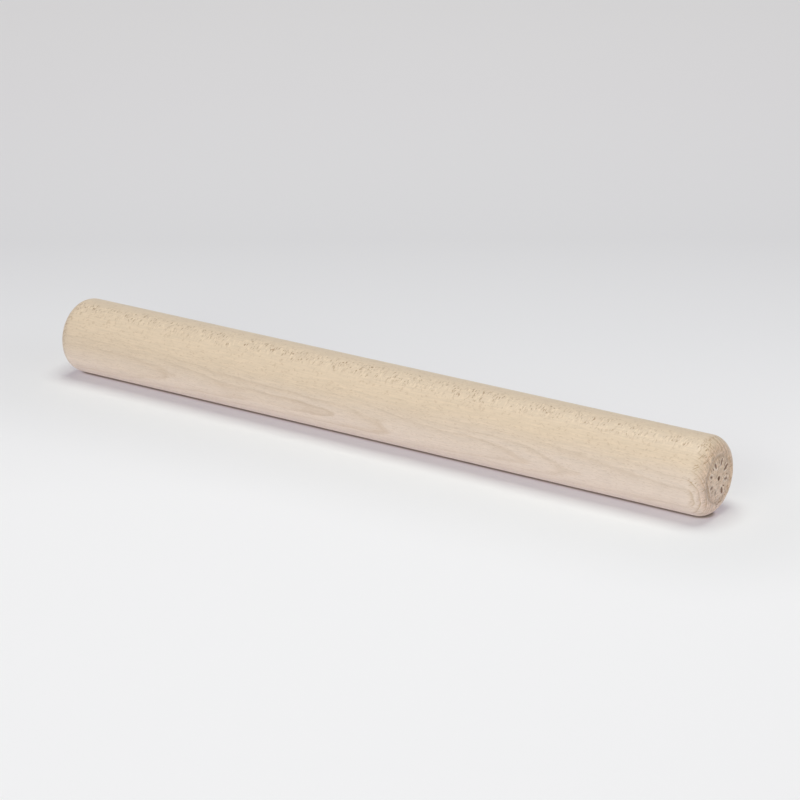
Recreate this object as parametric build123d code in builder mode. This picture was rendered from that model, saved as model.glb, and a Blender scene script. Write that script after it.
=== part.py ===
from build123d import *
from math import cos, radians, sin, tan
import os

# A straight French rolling pin, turned from a single billet of beech.
# It has no handles, no axle and no taper: the whole pin is one cylinder, with both ends
# rounded over, sanded flat in the middle, and dented where the lathe centres held them.

# Driving sizes, in millimetres and degrees
pin_length = 500.0
pin_diameter = 51.0
round_over_radius = 10.4
round_over_turn = 80.0
centre_mark_diameter = 3.0
centre_mark_point_angle = 60.0

# The pin lies along X with its middle over the origin, and rests on Z = 0
half_length = pin_length / 2
barrel_radius = pin_diameter / 2
turning_axis = Axis((0, 0, barrel_radius), (1, 0, 0))
profile_plane = Plane(origin=(0, 0, barrel_radius), x_dir=(1, 0, 0), z_dir=(0, -1, 0))

# The round-over leaves the barrel smoothly and turns a little less than a right angle,
# so it meets the flat end in a faint edge that the fingers can just feel
round_over_run = round_over_radius * sin(radians(round_over_turn))
round_over_drop = round_over_radius * (1 - cos(radians(round_over_turn)))
barrel_end = half_length - round_over_run
flat_radius = barrel_radius - round_over_drop

# A lathe centre leaves a small cone in the middle of each end
centre_mark_radius = centre_mark_diameter / 2
centre_mark_depth = centre_mark_radius / tan(radians(centre_mark_point_angle / 2))

# Rolling pin: half of its profile, mirrored to the other end and turned about its axis
with BuildPart() as rolling_pin:
    with BuildSketch(profile_plane):
        with BuildLine():
            middle = Line((0, 0), (0, barrel_radius))
            barrel = Line(middle @ 1, (barrel_end, barrel_radius))
            round_over = CenterArc(
                center=(barrel_end, barrel_radius - round_over_radius),
                radius=round_over_radius,
                start_angle=90,
                arc_size=-round_over_turn,
            )
            flat = Line((half_length, flat_radius), (half_length, centre_mark_radius))
            centre_mark = Line(flat @ 1, (half_length - centre_mark_depth, 0))
            Line(centre_mark @ 1, middle @ 0)
        make_face()
        mirror(about=Plane.YZ)
    revolve(axis=turning_axis)

rolling_pin.part.label = "rolling_pin"
os.makedirs("parts", exist_ok=True)
export_step(rolling_pin.part, "parts/rolling_pin.step")
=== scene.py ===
from math import cos, pi, radians, sin, tan

import bpy
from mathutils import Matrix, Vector


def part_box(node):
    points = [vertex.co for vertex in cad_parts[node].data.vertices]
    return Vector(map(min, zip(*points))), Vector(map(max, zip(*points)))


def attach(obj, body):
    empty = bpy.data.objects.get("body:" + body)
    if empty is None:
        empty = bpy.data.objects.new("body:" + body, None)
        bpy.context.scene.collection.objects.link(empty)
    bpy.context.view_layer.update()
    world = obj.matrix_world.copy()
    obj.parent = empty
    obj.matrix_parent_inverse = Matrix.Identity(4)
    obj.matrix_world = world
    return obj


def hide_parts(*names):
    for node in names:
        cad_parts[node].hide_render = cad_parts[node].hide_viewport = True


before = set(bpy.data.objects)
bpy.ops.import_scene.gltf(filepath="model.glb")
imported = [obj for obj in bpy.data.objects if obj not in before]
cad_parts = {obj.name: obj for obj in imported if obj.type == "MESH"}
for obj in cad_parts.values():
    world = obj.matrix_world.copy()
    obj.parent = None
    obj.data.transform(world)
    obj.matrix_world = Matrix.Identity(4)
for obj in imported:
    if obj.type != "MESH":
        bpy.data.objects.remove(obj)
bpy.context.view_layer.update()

# The turned pin
# One billet of beech, turned between lathe centres to a plain barrel, rounded over at both ends
# and sanded flat in the middle of each, with a shallow groove cut round the marked end's flat.
mm = 0.001
pin_low, pin_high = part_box("rolling_pin")
end_x = pin_high[0]
barrel_radius = (pin_high[2] - pin_low[2]) / 2
axis_height = pin_low[2] + barrel_radius
round_over_radius = 10.4 * mm
round_over_turn = radians(80)
round_over_steps = 14
barrel_steps = 24
turned_steps = 240
centre_mark_radius = 1.5 * mm
centre_mark_half_angle = radians(30)
centre_mark_depth = centre_mark_radius / tan(centre_mark_half_angle)
groove_radius = 14.7 * mm
groove_width = 4.2 * mm
groove_depth = 0.7 * mm
groove_steps = 8
weld_distance = 0.001 * mm
smooth_angle = radians(30)


def end_profile(has_groove):
    """Points of one end, as distance in from the end's flat and radius, from the axis outwards."""
    points = [(centre_mark_depth, 0), (0, centre_mark_radius)]
    if has_groove:
        for step in range(groove_steps + 1):
            share = step / groove_steps
            depth = groove_depth * (1 - cos(2 * pi * share)) / 2
            points.append((depth, groove_radius + groove_width * (share - 0.5)))
    else:
        points.append((0, groove_radius))
    run = round_over_radius * sin(round_over_turn)
    for step in range(round_over_steps + 1):
        turn = round_over_turn * (1 - step / round_over_steps)
        inward = run - round_over_radius * sin(turn)
        points.append((inward, barrel_radius - round_over_radius * (1 - cos(turn))))
    return points


def select_none():
    """Leaves edit mode and deselects everything."""
    if bpy.context.object and bpy.context.object.mode == "EDIT":
        bpy.ops.object.mode_set(mode="OBJECT")
    bpy.ops.object.select_all(action="DESELECT")


marked_end = [(end_x - inward, radius) for inward, radius in end_profile(True)]
plain_end = [(inward - end_x, radius) for inward, radius in end_profile(False)]
barrel_start, barrel_stop = marked_end[-1][0], plain_end[-1][0]
barrel = []
for step in range(1, barrel_steps):
    barrel.append((barrel_start + (barrel_stop - barrel_start) * step / barrel_steps, barrel_radius))
profile = marked_end + barrel + plain_end[::-1]

# The profile is drawn as a chain of edges from one end's cone to the other's, and spun
select_none()
start = (profile[0][0], 0, axis_height + profile[0][1])
bpy.ops.mesh.primitive_plane_add(size=barrel_radius, location=start)
pin = bpy.context.object
pin.name = "turned_rolling_pin"
bpy.ops.object.transform_apply(location=True, rotation=True, scale=True)
bpy.ops.object.mode_set(mode="EDIT")
bpy.ops.mesh.select_all(action="SELECT")
bpy.ops.mesh.merge(type="CENTER")
for (x, radius), (next_x, next_radius) in zip(profile, profile[1:]):
    move = (next_x - x, 0, next_radius - radius)
    bpy.ops.mesh.extrude_vertices_move(TRANSFORM_OT_translate={"value": move})
bpy.ops.mesh.select_all(action="SELECT")
bpy.ops.mesh.spin(steps=turned_steps, angle=2 * pi, center=(0, 0, axis_height), axis=(1, 0, 0))
bpy.ops.mesh.select_all(action="SELECT")
bpy.ops.mesh.remove_doubles(threshold=weld_distance)
bpy.ops.mesh.normals_make_consistent(inside=False)
bpy.ops.object.mode_set(mode="OBJECT")

# The drive mark
# The lathe's toothed driver held the billet by one end. Round the cone of its point it has left
# eight slots, some deeper than others, each in a shallow patch of crushed fibre, and beside most
# of them a fainter slot where the tooth slipped before it bit.
crushed_margin = 1.4 * mm
crushed_depth = 0.22 * mm
slot_depth = 0.6 * mm
tooth_segments, tooth_rings = 20, 14

# Turn from the top in degrees; ring radius, half length and half width in millimetres; lean in
# degrees; and share of the slots' depth
slots = (
    (25, 10.2, 2.6, 0.9, 7, 0.9),
    (69, 10.0, 1.5, 0.75, -5, 0.8),
    (113, 9.4, 2.1, 0.9, -14, 0.6),
    (157, 9.2, 2.4, 0.8, 9, 0.45),
    (205, 10.0, 2.6, 1.3, -8, 1.0),
    (252, 9.5, 2.4, 0.85, 12, 0.6),
    (298, 9.9, 3.3, 1.0, 4, 0.9),
    (342, 10.3, 2.9, 0.9, -6, 0.8),
)
slips = (
    (42, 10.7, 1.7, 0.6, -4, 0.6),
    (86, 9.5, 1.4, 0.5, 12, 0.5),
    (131, 10.2, 1.8, 0.6, 5, 0.55),
    (224, 9.2, 1.6, 0.6, 10, 0.6),
    (270, 10.4, 1.4, 0.5, -8, 0.5),
    (314, 10.5, 2.0, 0.6, 2, 0.6),
    (359, 10.7, 1.8, 0.6, -2, 0.6),
)


def press(turn, lean, ring_radius, half_length, half_width, depth):
    """Adds the nose of a tooth: an ellipsoid on the end's flat that reaches in by the depth."""
    bpy.ops.mesh.primitive_uv_sphere_add(
        segments=tooth_segments,
        ring_count=tooth_rings,
        radius=half_width,
        location=(end_x, -ring_radius * sin(turn), axis_height + ring_radius * cos(turn)),
        rotation=(turn + lean, 0, 0),
        scale=(depth / half_width, 1, half_length / half_width),
    )
    return bpy.context.object


select_none()
crushed, bitten = [], []
for turn, ring_radius, half_length, half_width, lean, bite in slots + slips:
    place = (radians(turn), radians(lean), ring_radius * mm)
    slot_size = (half_length * mm, half_width * mm)
    bitten.append(press(*place, *slot_size, bite * slot_depth))
for turn, ring_radius, half_length, half_width, lean, _ in slots:
    place = (radians(turn), radians(lean), ring_radius * mm)
    patch_size = (half_length * mm + crushed_margin, half_width * mm + crushed_margin)
    crushed.append(press(*place, *patch_size, crushed_depth))
for teeth in (crushed, bitten):
    select_none()
    for tooth in teeth:
        tooth.select_set(True)
    bpy.context.view_layer.objects.active = teeth[0]
    bpy.ops.object.join()
    driver = bpy.context.object
    select_none()
    pin.select_set(True)
    bpy.context.view_layer.objects.active = pin
    cut = pin.modifiers.new("pressed", "BOOLEAN")
    cut.operation = "DIFFERENCE"
    cut.solver = "EXACT"
    cut.object = driver
    bpy.ops.object.modifier_apply(modifier=cut.name)
    bpy.data.objects.remove(driver)
bpy.ops.object.shade_smooth_by_angle(angle=smooth_angle)

# The wood
# Steamed European beech, turned and finely sanded, with no oil: pale and matt, yellowish on one
# side of the billet and pinker on the other, with short dark ray flecks and faint growth rings.
# The patterns run through the solid wood, so their sizes are in millimetres inside the trunk.
grain_turn = radians(14)
pith_distance = 120
per_metre = 1000
axis_mm = axis_height * per_metre
radius_mm = barrel_radius * per_metre


def linear(hex_colour):
    """A colour written as sRGB hex, as the linear colour that a shader takes."""
    channels = [int(hex_colour[i:i + 2], 16) / 255 for i in (1, 3, 5)]
    values = [c / 12.92 if c <= 0.04045 else ((c + 0.055) / 1.055) ** 2.4 for c in channels]
    return (*values, 1)


def add(tree, kind, inputs, **settings):
    """Adds one node with its settings. An input is a plain value or the socket that feeds it."""
    node = tree.nodes.new(kind)
    for name, value in settings.items():
        setattr(node, name, value)
    for name, value in inputs.items():
        if isinstance(value, bpy.types.NodeSocket):
            tree.links.new(value, node.inputs[name])
        else:
            node.inputs[name].default_value = value
    return node


def fill_ramp(ramp, stops):
    """Gives a colour ramp its stops, from pairs of position and colour."""
    ramp.elements[0].position, ramp.elements[0].color = stops[0]
    ramp.elements[1].position, ramp.elements[1].color = stops[-1]
    for position, colour in stops[1:-1]:
        ramp.elements.new(position).color = colour


beech = bpy.data.materials.new("sanded_beech")
beech.use_nodes = True
wood = beech.node_tree
wood.nodes.clear()
object_place = add(wood, "ShaderNodeTexCoord", {})


def stretched_noise(place, cell, detail, roughness):
    """Soft noise with patches about as large as the cell, in the unit of the place that it reads."""
    cells = add(
        wood,
        "ShaderNodeVectorMath",
        {0: place, 1: [1 / size for size in cell]},
        operation="MULTIPLY",
    )
    return add(
        wood,
        "ShaderNodeTexNoise",
        {"Vector": cells.outputs["Vector"], "Scale": 1, "Detail": detail, "Roughness": roughness},
    )


# Where a point lies in the trunk that the billet was cut from: along the trunk, out from its
# pith, and round it. The fibres of a trunk wander a little
wander_reach = (0, 6, 6)
billet = add(
    wood,
    "ShaderNodeMapping",
    {
        "Vector": object_place.outputs["Object"],
        "Scale": (per_metre, per_metre, per_metre),
        "Rotation": (-grain_turn, 0, 0),
        "Location": (0, pith_distance - axis_mm * sin(grain_turn), -axis_mm * cos(grain_turn)),
    },
)
billet_place = billet.outputs["Vector"]
wander = stretched_noise(billet_place, (110, 38, 38), detail=1.5, roughness=0.4)
wandered = add(
    wood,
    "ShaderNodeVectorMath",
    {0: wander.outputs["Color"], 1: wander_reach, 2: billet_place},
    operation="MULTIPLY_ADD",
)
trunk = add(wood, "ShaderNodeSeparateXYZ", {"Vector": wandered.outputs["Vector"]})
along = trunk.outputs["X"]
pith_angle = add(
    wood,
    "ShaderNodeMath",
    {0: trunk.outputs["Z"], 1: trunk.outputs["Y"]},
    operation="ARCTAN2",
)
round_pith = add(
    wood,
    "ShaderNodeMath",
    {0: pith_angle.outputs[0], 1: pith_distance},
    operation="MULTIPLY",
)
cross_section = add(wood, "ShaderNodeCombineXYZ", {"X": trunk.outputs["Y"], "Y": trunk.outputs["Z"]})
from_pith = add(wood, "ShaderNodeVectorMath", {0: cross_section.outputs[0]}, operation="LENGTH")

# The slow change of colour across the billet, from the yellower side to the pinker one, which lies
# low on the front. The pink is the wood's own; that this side is also a little paler is painted
# light, as if more light reached the pin's underside
tint_turn = radians(60)
tint_along = 0.9
yellow_below, pink_above = 0.2, 1.25
axis_share = sin(tint_turn)
pink_and_lit_side = add(
    wood,
    "ShaderNodeVectorMath",
    {
        0: object_place.outputs["Object"],
        1: (tint_along, -cos(tint_turn) / barrel_radius, -sin(tint_turn) / barrel_radius),
    },
    operation="DOT_PRODUCT",
)
blotch = stretched_noise(billet_place, (60, 14, 14), detail=2, roughness=0.5)
pink_uneven = add(
    wood,
    "ShaderNodeMath",
    {0: blotch.outputs["Fac"], 1: 0.5, 2: pink_and_lit_side.outputs["Value"]},
    operation="MULTIPLY_ADD",
)
pink_and_lit_share = add(
    wood,
    "ShaderNodeMapRange",
    {
        "Value": pink_uneven.outputs[0],
        "From Min": yellow_below - axis_share,
        "From Max": pink_above - axis_share,
    },
    interpolation_type="SMOOTHSTEP",
)
ground = add(
    wood,
    "ShaderNodeMix",
    {"Factor": pink_and_lit_share.outputs["Result"], "A": linear("#D1BFA6"), "B": linear("#D4C5B6")},
    data_type="RGBA",
)

# Growth rings: each year ends in a thin, slightly darker line. The trunk's taper draws the rings
# out into long arches where the barrel lies flat to them, and elsewhere on it they hardly show.
# No two years are the same width, and the line ripples
ring_width = 2.7
taper = 0.030
year_run, year_spread = 9, 6.0
ripple_reach = 2.2
arch_offset = 3
arches_from, arches_beyond = 18, 27
year_darkness = ((0.0, 0.25), (0.08, 0.0), (0.5, 0.15), (0.75, 0.4), (0.9, 1.0), (1.0, 0.6))
tapered = add(
    wood,
    "ShaderNodeMath",
    {0: along, 1: taper, 2: from_pith.outputs["Value"]},
    operation="MULTIPLY_ADD",
)
uneven_years = add(
    wood,
    "ShaderNodeTexNoise",
    {"W": tapered.outputs[0], "Scale": 1 / year_run, "Detail": 1},
    noise_dimensions="1D",
)
uneven_rings = add(
    wood,
    "ShaderNodeMath",
    {0: uneven_years.outputs["Fac"], 1: year_spread, 2: tapered.outputs[0]},
    operation="MULTIPLY_ADD",
)
ripple = stretched_noise(billet_place, (24, 6, 6), detail=3, roughness=0.55)
rippled = add(
    wood,
    "ShaderNodeMath",
    {0: ripple.outputs["Fac"], 1: ripple_reach, 2: uneven_rings.outputs[0]},
    operation="MULTIPLY_ADD",
)
years = add(wood, "ShaderNodeMath", {0: rippled.outputs[0], 1: ring_width}, operation="DIVIDE")
season = add(wood, "ShaderNodeMath", {0: years.outputs[0]}, operation="FRACT")
late_wood = add(wood, "ShaderNodeValToRGB", {"Fac": season.outputs[0]})
fill_ramp(late_wood.color_ramp, [(share, (grey, grey, grey, 1)) for share, grey in year_darkness])
off_middle = add(
    wood,
    "ShaderNodeMath",
    {0: trunk.outputs["Y"], 1: pith_distance + arch_offset},
    operation="SUBTRACT",
)
flat_sawn = add(wood, "ShaderNodeMath", {0: off_middle.outputs[0]}, operation="ABSOLUTE")
barrel_rings = add(
    wood,
    "ShaderNodeMapRange",
    {
        "Value": flat_sawn.outputs[0],
        "From Min": arches_from,
        "From Max": arches_beyond,
        "To Min": 0.04,
        "To Max": 0.48,
    },
)

# The rings show again on the round-overs and the flats, where the surface cuts across the grain.
# End facing is 0 on the barrel and 1 on a flat
surface_normal = add(wood, "ShaderNodeSeparateXYZ", {"Vector": object_place.outputs["Normal"]})
end_facing = add(wood, "ShaderNodeMath", {0: surface_normal.outputs["X"]}, operation="ABSOLUTE")
end_rings = add(
    wood,
    "ShaderNodeMapRange",
    {"Value": end_facing.outputs[0], "From Min": 0.1, "From Max": 0.4, "To Max": 1.1},
)
ring_strength = add(
    wood,
    "ShaderNodeMath",
    {0: barrel_rings.outputs["Result"], 1: end_rings.outputs["Result"]},
    operation="MAXIMUM",
)
ring_patches = add(
    wood,
    "ShaderNodeMapRange",
    {"Value": blotch.outputs["Fac"], "From Min": 0.35, "From Max": 0.65, "To Min": 0.5, "To Max": 1.3},
)
patchy_rings = add(
    wood,
    "ShaderNodeMath",
    {0: ring_strength.outputs[0], 1: ring_patches.outputs["Result"]},
    operation="MULTIPLY",
)
ring_share = add(
    wood,
    "ShaderNodeMath",
    {0: patchy_rings.outputs[0], 1: late_wood.outputs["Color"]},
    operation="MULTIPLY",
)
ringed = add(
    wood,
    "ShaderNodeMix",
    {"Factor": ring_share.outputs[0], "A": ground.outputs["Result"], "B": linear("#B9A388")},
    data_type="RGBA",
)

# Fibres: the finest streaks along the grain, drawn about twice as coarse as they are
fibre = stretched_noise(billet_place, (10, 0.9, 0.9), detail=3, roughness=0.6)
fibre_tone = add(
    wood,
    "ShaderNodeMapRange",
    {"Value": fibre.outputs["Fac"], "From Min": 0.3, "From Max": 0.7, "To Min": 0.93, "To Max": 1.07},
)
streaked = add(
    wood,
    "ShaderNodeVectorMath",
    {0: ringed.outputs["Result"], "Scale": fibre_tone.outputs["Result"]},
    operation="SCALE",
)

# Rays: thin ribbons that run straight out from the pith. End on they are short dark dashes, and
# along the line where the barrel's surface lies in their plane they open into a band of flecks
sway_reach = (4.0, 2.6, 5.0)
sway = stretched_noise(billet_place, (3.2, 4.5, 4.5), detail=2, roughness=0.55)
swayed = add(
    wood,
    "ShaderNodeVectorMath",
    {0: sway.outputs["Color"], 1: sway_reach},
    operation="MULTIPLY",
)
ray_place = add(
    wood,
    "ShaderNodeCombineXYZ",
    {"X": along, "Y": round_pith.outputs[0], "Z": from_pith.outputs["Value"]},
)
ray_swayed = add(
    wood,
    "ShaderNodeVectorMath",
    {0: ray_place.outputs[0], 1: swayed.outputs["Vector"]},
    operation="ADD",
)


def ray_family(height, spacing, length, edge, core):
    """How much of a ray there is at a point, from 0 at its edge to 1 in its core. The height, the
    spacing and the length of the rays are in millimetres, edge and core in shares of a cell."""
    cells = add(
        wood,
        "ShaderNodeVectorMath",
        {0: ray_swayed.outputs["Vector"], 1: (1 / height, 1 / spacing, 1 / length)},
        operation="MULTIPLY",
    )
    nearest = add(wood, "ShaderNodeTexVoronoi", {"Vector": cells.outputs["Vector"], "Scale": 1})
    return add(
        wood,
        "ShaderNodeMapRange",
        {"Value": nearest.outputs["Distance"], "From Min": edge, "From Max": core},
        interpolation_type="SMOOTHSTEP",
    )


tall_rays = ray_family(height=3.8, spacing=0.8, length=14, edge=0.36, core=0.14)
short_rays = ray_family(height=1.5, spacing=0.9, length=6.5, edge=0.46, core=0.16)
pale_rays = ray_family(height=1.7, spacing=1.2, length=5.5, edge=0.46, core=0.2)
tall_strength = add(
    wood,
    "ShaderNodeMapRange",
    {"Value": end_facing.outputs[0], "From Min": 0.1, "From Max": 0.4, "To Min": 0.3, "To Max": 0.85},
)
tall_share = add(
    wood,
    "ShaderNodeMath",
    {0: tall_rays.outputs["Result"], 1: tall_strength.outputs["Result"]},
    operation="MULTIPLY",
)
with_tall = add(
    wood,
    "ShaderNodeMix",
    {"Factor": tall_share.outputs[0], "A": streaked.outputs["Vector"], "B": linear("#A98C6C")},
    data_type="RGBA",
)

# The band of flecks, where the billet's surface runs along the rays: full out to its core, and
# nearly gone at its edge
band_offset = 4.5
band_core, band_edge = 2.5, 8
band_middle = pith_distance + band_offset - radius_mm * radius_mm / pith_distance
off_band = add(
    wood,
    "ShaderNodeMath",
    {0: trunk.outputs["Y"], 1: band_middle},
    operation="SUBTRACT",
)
from_band = add(wood, "ShaderNodeMath", {0: off_band.outputs[0]}, operation="ABSOLUTE")
fleck_band = add(
    wood,
    "ShaderNodeMapRange",
    {
        "Value": from_band.outputs[0],
        "From Min": band_core,
        "From Max": band_edge,
        "To Min": 1,
        "To Max": 0.1,
    },
    interpolation_type="SMOOTHSTEP",
)
banded_rays = add(
    wood,
    "ShaderNodeMath",
    {0: short_rays.outputs["Result"], 1: fleck_band.outputs["Result"]},
    operation="MULTIPLY",
)
clusters = stretched_noise(billet_place, (7, 3, 3), detail=1, roughness=0.5)
cluster_share = add(
    wood,
    "ShaderNodeMapRange",
    {"Value": clusters.outputs["Fac"], "From Min": 0.35, "From Max": 0.65, "To Min": 0.3},
)
fleck_share = add(
    wood,
    "ShaderNodeMath",
    {0: banded_rays.outputs[0], 1: cluster_share.outputs["Result"]},
    operation="MULTIPLY",
)
with_short = add(
    wood,
    "ShaderNodeMix",
    {"Factor": fleck_share.outputs[0], "A": with_tall.outputs["Result"], "B": linear("#9C8062")},
    data_type="RGBA",
)

# Some flecks are painted paler than the wood round them, a painted highlight where they would catch the
# light
pale_strength = 0.5
banded_pale = add(
    wood,
    "ShaderNodeMath",
    {0: pale_rays.outputs["Result"], 1: fleck_band.outputs["Result"]},
    operation="MULTIPLY",
)
pale_share = add(
    wood,
    "ShaderNodeMath",
    {0: banded_pale.outputs[0], 1: pale_strength},
    operation="MULTIPLY",
)
with_pale = add(
    wood,
    "ShaderNodeMix",
    {"Factor": pale_share.outputs[0], "A": with_short.outputs["Result"], "B": linear("#E3D2B8")},
    data_type="RGBA",
)

# End grain: the open ends of the vessels, browner and darker than the barrel's long grain
end_tint = (1.05, 0.97, 0.95)
end_grain = add(
    wood,
    "ShaderNodeMapRange",
    {"Value": end_facing.outputs[0], "From Min": 0.55, "From Max": 0.97, "To Max": 0.75},
    interpolation_type="SMOOTHSTEP",
)
vessels = stretched_noise(billet_place, (6, 2.2, 2.2), detail=3, roughness=0.75)
vessel_tone = add(
    wood,
    "ShaderNodeMapRange",
    {"Value": vessels.outputs["Fac"], "From Min": 0.35, "From Max": 0.65, "To Min": 0.73, "To Max": 1.2},
)
end_tone = add(
    wood,
    "ShaderNodeVectorMath",
    {0: with_pale.outputs["Result"], "Scale": vessel_tone.outputs["Result"]},
    operation="SCALE",
)
end_brown = add(
    wood,
    "ShaderNodeVectorMath",
    {0: end_tone.outputs["Vector"], 1: end_tint},
    operation="MULTIPLY",
)
with_end = add(
    wood,
    "ShaderNodeMix",
    {
        "Factor": end_grain.outputs["Result"],
        "A": with_pale.outputs["Result"],
        "B": end_brown.outputs["Vector"],
    },
    data_type="RGBA",
)

# The drive mark's colours, on the marked end alone: patches of the crushed fibre are painted paler
# than the flat, a painted highlight on the slots' rims; the groove is painted darker, most towards
# the front, which is painted shade; and slots and cone are dark inside
from_axis = add(
    wood,
    "ShaderNodeVectorMath",
    {0: object_place.outputs["Object"], 1: (0, 0, -axis_height)},
    operation="ADD",
)
from_axis_xyz = add(wood, "ShaderNodeSeparateXYZ", {"Vector": from_axis.outputs["Vector"]})
end_point = add(
    wood,
    "ShaderNodeCombineXYZ",
    {"Y": from_axis_xyz.outputs["Y"], "Z": from_axis_xyz.outputs["Z"]},
)
mark_radius = add(wood, "ShaderNodeVectorMath", {0: end_point.outputs[0]}, operation="LENGTH")
inside_mark = add(
    wood,
    "ShaderNodeMath",
    {0: mark_radius.outputs["Value"], 1: groove_radius - groove_width / 2},
    operation="LESS_THAN",
)
in_groove = add(
    wood,
    "ShaderNodeMath",
    {0: mark_radius.outputs["Value"], 1: groove_radius, 2: groove_width / 2},
    operation="COMPARE",
)
marked_side = add(
    wood,
    "ShaderNodeMath",
    {0: from_axis_xyz.outputs["X"], 1: end_x - 2 * centre_mark_depth},
    operation="GREATER_THAN",
)


def below_flat(start, stop, where):
    """How far a point of the marked end is below its flat, from 0 at the start depth to 1."""
    depth = add(
        wood,
        "ShaderNodeMapRange",
        {"Value": from_axis_xyz.outputs["X"], "From Min": end_x - start, "From Max": end_x - stop},
        interpolation_type="SMOOTHSTEP",
    )
    return add(
        wood,
        "ShaderNodeMath",
        {0: depth.outputs["Result"], 1: where.outputs[0]},
        operation="MULTIPLY",
    )


mark_cell = (3 * mm, 1.1 * mm, 1.1 * mm)
mark_patches = stretched_noise(object_place.outputs["Object"], mark_cell, detail=2, roughness=0.5)
patchy = add(
    wood,
    "ShaderNodeMapRange",
    {"Value": mark_patches.outputs["Fac"], "From Min": 0.42, "From Max": 0.6},
)
patchy_end = add(
    wood,
    "ShaderNodeMath",
    {0: patchy.outputs["Result"], 1: marked_side.outputs[0]},
    operation="MULTIPLY",
)
# Painted highlight: patches of the crushed fibre round the slots are painted paler, as where their rims
# catch the light
crushed_start = 0.01 * mm
in_crushed = below_flat(crushed_start, crushed_depth / 2, inside_mark)
crushed_highlight_share = add(
    wood,
    "ShaderNodeMath",
    {0: in_crushed.outputs[0], 1: patchy_end.outputs[0]},
    operation="MULTIPLY",
)
with_crushed_highlight = add(
    wood,
    "ShaderNodeMix",
    {"Factor": crushed_highlight_share.outputs[0], "A": with_end.outputs["Result"], "B": linear("#E6D6C4")},
    data_type="RGBA",
)
# Painted shade in the groove, darker towards the front and fading towards the back
groove_shade_side = add(
    wood,
    "ShaderNodeMapRange",
    {
        "Value": from_axis_xyz.outputs["Y"],
        "From Min": -groove_radius,
        "From Max": groove_radius,
        "To Min": 0.4,
        "To Max": 0.06,
    },
)
low_in_groove = below_flat(0, groove_depth / 2, in_groove)
groove_shade_share = add(
    wood,
    "ShaderNodeMath",
    {0: low_in_groove.outputs[0], 1: groove_shade_side.outputs["Result"]},
    operation="MULTIPLY",
)
with_groove_shade = add(
    wood,
    "ShaderNodeMix",
    {"Factor": groove_shade_share.outputs[0], "A": with_crushed_highlight.outputs["Result"], "B": linear("#9C8570")},
    data_type="RGBA",
)
cone_blur = 0.15
cone_share = add(
    wood,
    "ShaderNodeMapRange",
    {
        "Value": mark_radius.outputs["Value"],
        "From Min": (1 + cone_blur) * centre_mark_radius,
        "From Max": (1 - cone_blur) * centre_mark_radius,
    },
)
slot_share = below_flat(crushed_depth / 2, slot_depth / 2, inside_mark)
deep_share = add(
    wood,
    "ShaderNodeMath",
    {0: slot_share.outputs[0], 1: cone_share.outputs["Result"]},
    operation="MAXIMUM",
)
dark_share = add(
    wood,
    "ShaderNodeMath",
    {0: deep_share.outputs[0], 1: marked_side.outputs[0]},
    operation="MULTIPLY",
)
wood_tone = add(
    wood,
    "ShaderNodeMix",
    {"Factor": dark_share.outputs[0], "A": with_groove_shade.outputs["Result"], "B": linear("#7D5F47")},
    data_type="RGBA",
)

# The sanded surface: matt, unevenly so along the fibres, with fibres that stand a few hundredths
# of a millimetre proud and flecks that lie as much below them
relief_depth = 0.06 * mm
relief_sum = add(
    wood,
    "ShaderNodeMath",
    {0: fleck_share.outputs[0], 1: -1.0, 2: fibre.outputs["Fac"]},
    operation="MULTIPLY_ADD",
)
relief = add(
    wood,
    "ShaderNodeBump",
    {"Height": relief_sum.outputs[0], "Strength": 0.5, "Distance": relief_depth},
)
roughness = add(
    wood,
    "ShaderNodeMapRange",
    {"Value": fibre.outputs["Fac"], "From Min": 0.3, "From Max": 0.7, "To Min": 0.4, "To Max": 0.56},
)
surface = add(
    wood,
    "ShaderNodeBsdfPrincipled",
    {
        "Base Color": wood_tone.outputs["Result"],
        "Roughness": roughness.outputs["Result"],
        "IOR": 1.5,
        "Sheen Weight": 0.12,
        "Sheen Roughness": 0.4,
        "Normal": relief.outputs["Normal"],
    },
)
add(wood, "ShaderNodeOutputMaterial", {"Surface": surface.outputs["BSDF"]})
pin.data.materials.clear()
pin.data.materials.append(beech)
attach(pin, "root")
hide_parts("rolling_pin")

# The floor
# A wide sheet of matt opal acrylic, as on a product table: it glows a little from below, so the
# pin's shadow stays pale, but not close to where the pin rests, which paints a dark contact shadow.
# Its tone changes slowly from the front to the back, painted shading of the light's falloff.
floor_size = 14
glow_seen, glow_thrown = 0.25, 0.37
contact_inset = 1.5 * mm
rest_half_length = end_x - round_over_radius - contact_inset
dark_within, glow_beyond = 6.8 * mm, 9.9 * mm
sheet_turn = radians(35)
sheet_from, sheet_to = -0.6, 1.4
# Painted shading: lighter at the front, darkest a little behind the pin and lighter again far back
sheet_tones = (
    (0.0, "#D8DDD7"),
    (0.25, "#D7DCD6"),
    (0.40, "#C7CDC7"),
    (0.52, "#BDC3BC"),
    (0.75, "#CDD2CA"),
    (1.0, "#E0E6DB"),
)

select_none()
bpy.ops.mesh.primitive_plane_add(size=floor_size, location=(0, 0, 0))
floor = bpy.context.object
floor.name = "opal_floor"
opal = bpy.data.materials.new("matt_opal_acrylic")
opal.use_nodes = True
sheet = opal.node_tree
sheet.nodes.clear()
floor_place = add(sheet, "ShaderNodeTexCoord", {})
floor_turned = add(
    sheet,
    "ShaderNodeVectorMath",
    {0: floor_place.outputs["Object"], 1: (-sin(sheet_turn), cos(sheet_turn), 0)},
    operation="DOT_PRODUCT",
)
floor_depth = add(
    sheet,
    "ShaderNodeMapRange",
    {"Value": floor_turned.outputs["Value"], "From Min": sheet_from, "From Max": sheet_to},
)
floor_tone = add(sheet, "ShaderNodeValToRGB", {"Fac": floor_depth.outputs["Result"]})
fill_ramp(floor_tone.color_ramp, [(share, linear(colour)) for share, colour in sheet_tones])
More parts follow.
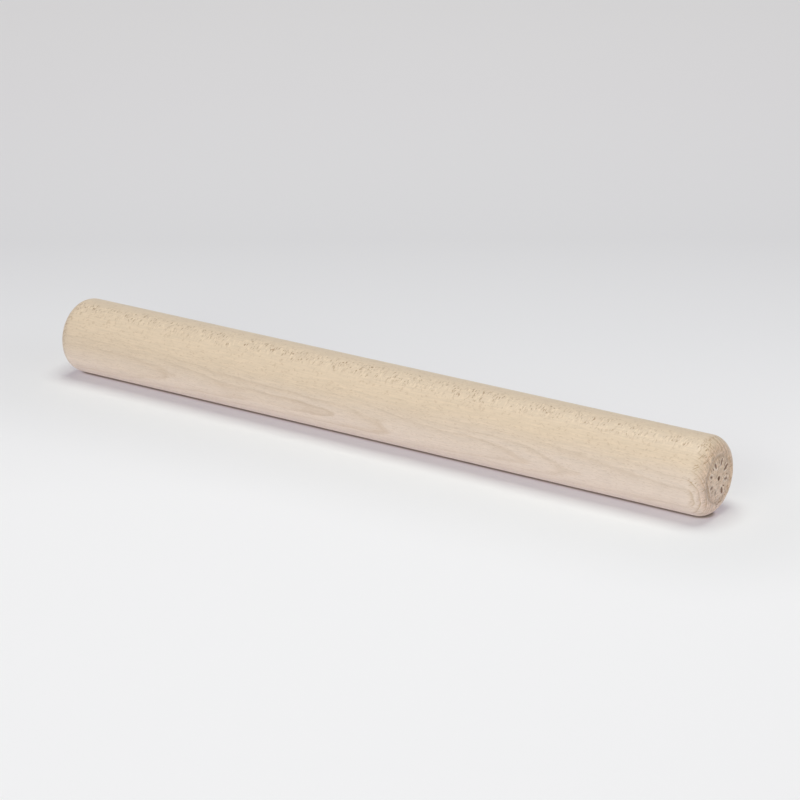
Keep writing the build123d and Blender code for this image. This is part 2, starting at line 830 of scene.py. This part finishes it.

# Near the line that the pin rests on, the sheet is painted greyer, a painted soft shadow round the
# pin, a little less so towards the marked end. Right under the pin it is painted in the wood's warm
# colour, a painted reflection of the wood in its contact shadow
near_from, near_to = 150 * mm, 30 * mm
warm_from, warm_to = 13 * mm, 3 * mm
floor_xyz = add(sheet, "ShaderNodeSeparateXYZ", {"Vector": floor_place.outputs["Object"]})
below_stop = add(
    sheet,
    "ShaderNodeMath",
    {0: floor_xyz.outputs["X"], 1: rest_half_length},
    operation="MINIMUM",
)
rest_x = add(
    sheet,
    "ShaderNodeMath",
    {0: below_stop.outputs[0], 1: -rest_half_length},
    operation="MAXIMUM",
)
rest_point = add(sheet, "ShaderNodeCombineXYZ", {"X": rest_x.outputs[0]})
rest_distance = add(
    sheet,
    "ShaderNodeVectorMath",
    {0: floor_place.outputs["Object"], 1: rest_point.outputs[0]},
    operation="DISTANCE",
)
# Painted shadow: the sheet is greyer near the line that the pin rests on
painted_shade_share = add(
    sheet,
    "ShaderNodeMapRange",
    {"Value": rest_distance.outputs["Value"], "From Min": near_from, "From Max": near_to},
    interpolation_type="SMOOTHSTEP",
)
along_pin = add(
    sheet,
    "ShaderNodeMapRange",
    {"Value": floor_xyz.outputs["X"], "From Min": -end_x, "From Max": end_x},
)
painted_shade_tone = add(
    sheet,
    "ShaderNodeMix",
    {"Factor": along_pin.outputs["Result"], "A": linear("#C4CAC3"), "B": linear("#CCD2CB")},
    data_type="RGBA",
)
painted_shade = add(
    sheet,
    "ShaderNodeMix",
    {
        "Factor": painted_shade_share.outputs["Result"],
        "A": floor_tone.outputs["Color"],
        "B": painted_shade_tone.outputs["Result"],
    },
    data_type="RGBA",
)
# Painted reflection: right under the pin the sheet takes the wood's warm colour
painted_bounce_share = add(
    sheet,
    "ShaderNodeMapRange",
    {"Value": rest_distance.outputs["Value"], "From Min": warm_from, "From Max": warm_to},
    interpolation_type="SMOOTHSTEP",
)
painted_bounce = add(
    sheet,
    "ShaderNodeMix",
    {"Factor": painted_bounce_share.outputs["Result"], "A": painted_shade.outputs["Result"], "B": linear("#C6B3AB")},
    data_type="RGBA",
)

# The glow, a little stronger on the pin than it looks to the camera
sheet_rays = add(sheet, "ShaderNodeLightPath", {})
# No glow close to where the pin rests: a painted contact shadow
glow_share = add(
    sheet,
    "ShaderNodeMapRange",
    {"Value": rest_distance.outputs["Value"], "From Min": dark_within, "From Max": glow_beyond},
    interpolation_type="SMOOTHSTEP",
)
glow_level = add(
    sheet,
    "ShaderNodeMapRange",
    {"Value": sheet_rays.outputs["Is Camera Ray"], "To Min": glow_thrown, "To Max": glow_seen},
)
glow = add(
    sheet,
    "ShaderNodeMath",
    {0: glow_share.outputs["Result"], 1: glow_level.outputs["Result"]},
    operation="MULTIPLY",
)
floor_surface = add(
    sheet,
    "ShaderNodeBsdfPrincipled",
    {
        "Base Color": painted_bounce.outputs["Result"],
        "Roughness": 0.9,
        "Specular IOR Level": 0,
        "Emission Color": linear("#F8E8FF"),
        "Emission Strength": glow.outputs[0],
    },
)

# Far from the pin the camera sees the sheet fade into the even grey of the room behind it
backdrop_grey = linear("#D5D4D5")
fade_from, fade_to = 0.8, 2.2
from_middle = add(sheet, "ShaderNodeVectorMath", {0: floor_place.outputs["Object"]}, operation="LENGTH")
fade = add(
    sheet,
    "ShaderNodeMapRange",
    {"Value": from_middle.outputs["Value"], "From Min": fade_from, "From Max": fade_to},
    interpolation_type="SMOOTHSTEP",
)
fade_seen = add(
    sheet,
    "ShaderNodeMath",
    {0: fade.outputs["Result"], 1: sheet_rays.outputs["Is Camera Ray"]},
    operation="MULTIPLY",
)
faded = add(sheet, "ShaderNodeEmission", {"Color": backdrop_grey})
floor_mix = add(
    sheet,
    "ShaderNodeMixShader",
    {"Fac": fade_seen.outputs[0], 1: floor_surface.outputs["BSDF"], 2: faded.outputs["Emission"]},
)
add(sheet, "ShaderNodeOutputMaterial", {"Surface": floor_mix.outputs[0]})
floor.data.materials.append(opal)

# The light
# A soft box overhead, a little behind the pin, another low in front of it, a weak one on the
# marked end's side, and the even light of a white room, which is brightest along its walls.
wall_top, wall_strength, ceiling_strength = 0.5, 0.75, 0.08


def soft_box(name, place, size, watts):
    """Adds a square lamp that faces the middle of the floor and isn't seen itself."""
    lamp = bpy.data.lights.new(name, "AREA")
    lamp.shape = "SQUARE"
    lamp.size = size
    lamp.energy = watts
    box = bpy.data.objects.new(name, lamp)
    bpy.context.scene.collection.objects.link(box)
    box.location = place
    box.rotation_euler = (-Vector(place)).to_track_quat("-Z", "Y").to_euler()
    box.visible_camera = False


soft_box("overhead_soft_box", (0, 0.1, 2.1), size=1.3, watts=32.8)
soft_box("front_soft_box", (0.5, -2.6, 0.7), size=1.6, watts=34)
soft_box("side_soft_box", (2.4, -0.3, 0.8), size=1.4, watts=7.2)

world = bpy.data.worlds.new("white_room")
world.use_nodes = True
bpy.context.scene.world = world
room = world.node_tree
room.nodes.clear()
room_place = add(room, "ShaderNodeTexCoord", {})
room_xyz = add(room, "ShaderNodeSeparateXYZ", {"Vector": room_place.outputs["Generated"]})
room_strength = add(
    room,
    "ShaderNodeMapRange",
    {
        "Value": room_xyz.outputs["Z"],
        "From Max": wall_top,
        "To Min": wall_strength,
        "To Max": ceiling_strength,
    },
)
room_light = add(
    room,
    "ShaderNodeBackground",
    {"Color": linear("#FFFFFF"), "Strength": room_strength.outputs["Result"]},
)
room_view = add(room, "ShaderNodeBackground", {"Color": backdrop_grey})
ray_kind = add(room, "ShaderNodeLightPath", {})
glossy_too = add(
    room,
    "ShaderNodeMath",
    {0: ray_kind.outputs["Is Camera Ray"], 1: ray_kind.outputs["Is Glossy Ray"]},
    operation="MAXIMUM",
)
clear_too = add(
    room,
    "ShaderNodeMath",
    {0: glossy_too.outputs[0], 1: ray_kind.outputs["Is Transmission Ray"]},
    operation="MAXIMUM",
)
room_mix = add(
    room,
    "ShaderNodeMixShader",
    {"Fac": clear_too.outputs[0], 1: room_light.outputs[0], 2: room_view.outputs[0]},
)
add(room, "ShaderNodeOutputWorld", {"Surface": room_mix.outputs[0]})

# The camera
# A long lens, from above the front right, fitted to the outline of the pin in the photograph.
frame_pixels = 800
focal_pixels = 3352.7
sensor_width = 36
camera_turn = radians(33.905)
camera_rise = radians(19.759)
camera_distance = 2.1673
camera_target = Vector((0.01555, 0, 0.02935))
towards_camera = Vector((
    sin(camera_turn) * cos(camera_rise),
    -cos(camera_turn) * cos(camera_rise),
    sin(camera_rise),
))
lens = bpy.data.cameras.new("camera")
lens.sensor_width = sensor_width
lens.lens = sensor_width * focal_pixels / frame_pixels
camera = bpy.data.objects.new("camera", lens)
bpy.context.scene.collection.objects.link(camera)
camera.location = camera_target + towards_camera * camera_distance
camera.rotation_euler = (-towards_camera).to_track_quat("-Z", "Y").to_euler()
bpy.context.scene.camera = camera
bpy.context.scene.view_settings.view_transform = "Standard"
